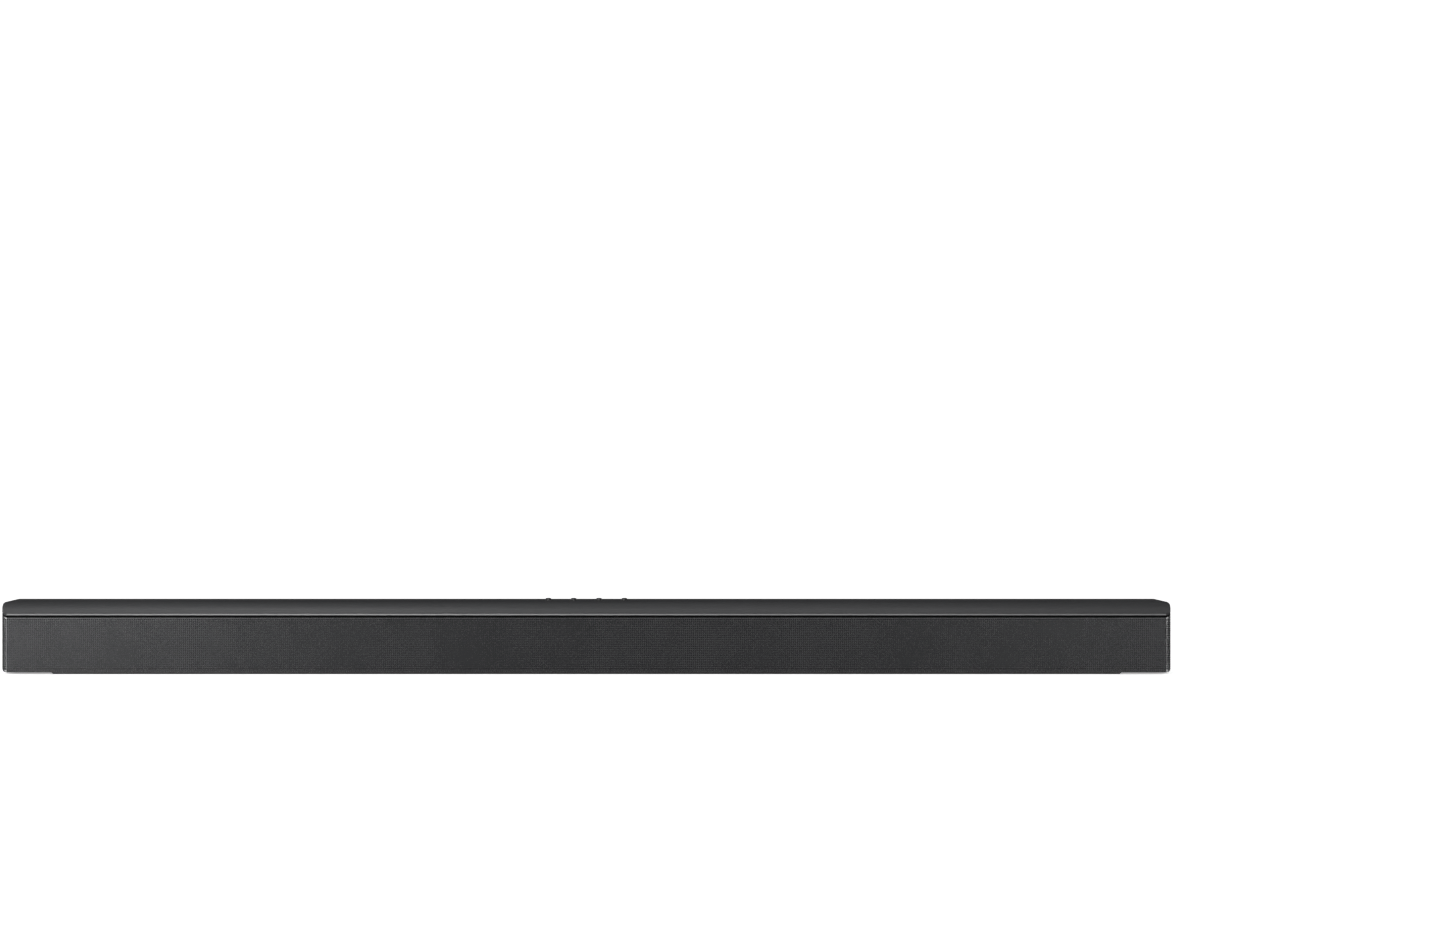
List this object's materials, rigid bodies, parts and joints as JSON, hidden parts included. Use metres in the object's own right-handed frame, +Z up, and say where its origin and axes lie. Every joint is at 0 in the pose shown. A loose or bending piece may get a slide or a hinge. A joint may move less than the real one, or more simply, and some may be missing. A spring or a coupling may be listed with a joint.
{
  "type": "soundbar",
  "caption": "Long slim soundbar with a perforated wraparound grille, a sloped-front top cover with press keys, a rear connector bay and rubber feet.",
  "frame": {"origin": "middle of the footprint, on the surface that the rubber feet stand on", "axes": "+X along the length to the listener's right, -Y towards the listener (grille), +Z up"},
  "size_m": [0.98, 0.105, 0.0626],
  "materials": {
    "grille_metal": "fine satin powder coat, dark grey",
    "acoustic_cloth": "black open weave",
    "cover_plastic": "satin, fine spark texture, dark grey",
    "key_plastic": "satin, dark grey",
    "case_plastic": "matte texture, black",
    "foot_rubber": "matte",
    "label_film": "satin film, blank",
    "black_steel": "black zinc",
    "insert_brass": "machined",
    "circuit_board": "solder mask",
    "component_plastic": "matte black",
    "display_glass": "smoked gloss",
    "sink_aluminium": "extruded",
    "choke_ferrite": "sintered",
    "socket_steel": "tinned steel",
    "lead_rubber": "satin",
    "basket_steel": "black e-coat",
    "motor_iron": "plated",
    "cone_paper": "pressed pulp, black",
    "surround_rubber": "matte",
    "spider_cloth": "impregnated cloth",
    "dome_silk": "coated silk"
  },
  "bodies": {
    "root": {"board_chips": "component_plastic", "bottom_case": "case_plastic", "case_screws": "black_steel", "connector_plates": "case_plastic", "dc_board": "circuit_board", "dc_jack": "component_plastic", "display_module": "display_glass", "driver_screws": "black_steel", "filter_capacitors": "sink_aluminium", "front_baffle": "case_plastic", "front_grille": "grille_metal", "grille_cloth": "acoustic_cloth", "hdmi_in_socket": "socket_steel", "hdmi_out_socket": "socket_steel", "heat_sink": "sink_aluminium", "internal_leads": "lead_rubber", "ir_receiver": "component_plastic", "key_board": "circuit_board", "key_switches": "component_plastic", "lead_connectors": "component_plastic", "main_board": "circuit_board", "optical_socket": "component_plastic", "output_chokes": "choke_ferrite", "rating_label": "label_film", "rubber_feet": "foot_rubber", "small_screws": "black_steel", "top_cover": "cover_plastic", "tweeter_centre_housing": "component_plastic", "tweeter_left_housing": "component_plastic", "tweeter_right_housing": "component_plastic", "usb_socket": "socket_steel", "wall_mount_inserts": "insert_brass", "wireless_module": "circuit_board", "woofer_centre_left_basket": "basket_steel", "woofer_centre_left_motor": "motor_iron", "woofer_centre_left_spider": "spider_cloth", "woofer_centre_left_surround": "surround_rubber", "woofer_centre_right_basket": "basket_steel", "woofer_centre_right_motor": "motor_iron", "woofer_centre_right_spider": "spider_cloth", "woofer_centre_right_surround": "surround_rubber", "woofer_left_basket": "basket_steel", "woofer_left_motor": "motor_iron", "woofer_left_spider": "spider_cloth", "woofer_left_surround": "surround_rubber", "woofer_right_basket": "basket_steel", "woofer_right_motor": "motor_iron", "woofer_right_spider": "spider_cloth", "woofer_right_surround": "surround_rubber"},
    "key_power": {"button_power": "key_plastic"},
    "key_volume_down": {"button_volume_down": "key_plastic"},
    "key_volume_up": {"button_volume_up": "key_plastic"},
    "key_source": {"button_source": "key_plastic"},
    "cone_left": {"woofer_left_cone": "cone_paper"},
    "cone_centre_left": {"woofer_centre_left_cone": "cone_paper"},
    "cone_centre_right": {"woofer_centre_right_cone": "cone_paper"},
    "cone_right": {"woofer_right_cone": "cone_paper"},
    "dome_left": {"tweeter_left_dome": "dome_silk"},
    "dome_centre": {"tweeter_centre_dome": "dome_silk"},
    "dome_right": {"tweeter_right_dome": "dome_silk"}
  },
  "joints": [
    {"name": "press_power", "type": "slide", "parent": "root", "child": "key_power", "axis": [0, 0, -1], "range_m": [0, 0.0006], "stiffness_N_per_m": 1500},
    {"name": "press_volume_down", "type": "slide", "parent": "root", "child": "key_volume_down", "axis": [0, 0, -1], "range_m": [0, 0.0006], "stiffness_N_per_m": 1500},
    {"name": "press_volume_up", "type": "slide", "parent": "root", "child": "key_volume_up", "axis": [0, 0, -1], "range_m": [0, 0.0006], "stiffness_N_per_m": 1500},
    {"name": "press_source", "type": "slide", "parent": "root", "child": "key_source", "axis": [0, 0, -1], "range_m": [0, 0.0006], "stiffness_N_per_m": 1500},
    {"name": "woofer_left_stroke", "type": "slide", "parent": "root", "child": "cone_left", "axis": [0, -1, 0], "range_m": [-0.0025, 0.0025], "stiffness_N_per_m": 1500, "deforming": ["woofer_left_surround", "woofer_left_spider"]},
    {"name": "woofer_centre_left_stroke", "type": "slide", "parent": "root", "child": "cone_centre_left", "axis": [0, -1, 0], "range_m": [-0.0025, 0.0025], "stiffness_N_per_m": 1500, "deforming": ["woofer_centre_left_surround", "woofer_centre_left_spider"]},
    {"name": "woofer_centre_right_stroke", "type": "slide", "parent": "root", "child": "cone_centre_right", "axis": [0, -1, 0], "range_m": [-0.0025, 0.0025], "stiffness_N_per_m": 1500, "deforming": ["woofer_centre_right_surround", "woofer_centre_right_spider"]},
    {"name": "woofer_right_stroke", "type": "slide", "parent": "root", "child": "cone_right", "axis": [0, -1, 0], "range_m": [-0.0025, 0.0025], "stiffness_N_per_m": 1500, "deforming": ["woofer_right_surround", "woofer_right_spider"]},
    {"name": "tweeter_left_stroke", "type": "slide", "parent": "root", "child": "dome_left", "axis": [0, -1, 0], "range_m": [-0.00025, 0.00025], "stiffness_N_per_m": 1500},
    {"name": "tweeter_centre_stroke", "type": "slide", "parent": "root", "child": "dome_centre", "axis": [0, -1, 0], "range_m": [-0.00025, 0.00025], "stiffness_N_per_m": 1500},
    {"name": "tweeter_right_stroke", "type": "slide", "parent": "root", "child": "dome_right", "axis": [0, -1, 0], "range_m": [-0.00025, 0.00025], "stiffness_N_per_m": 1500}
  ]
}
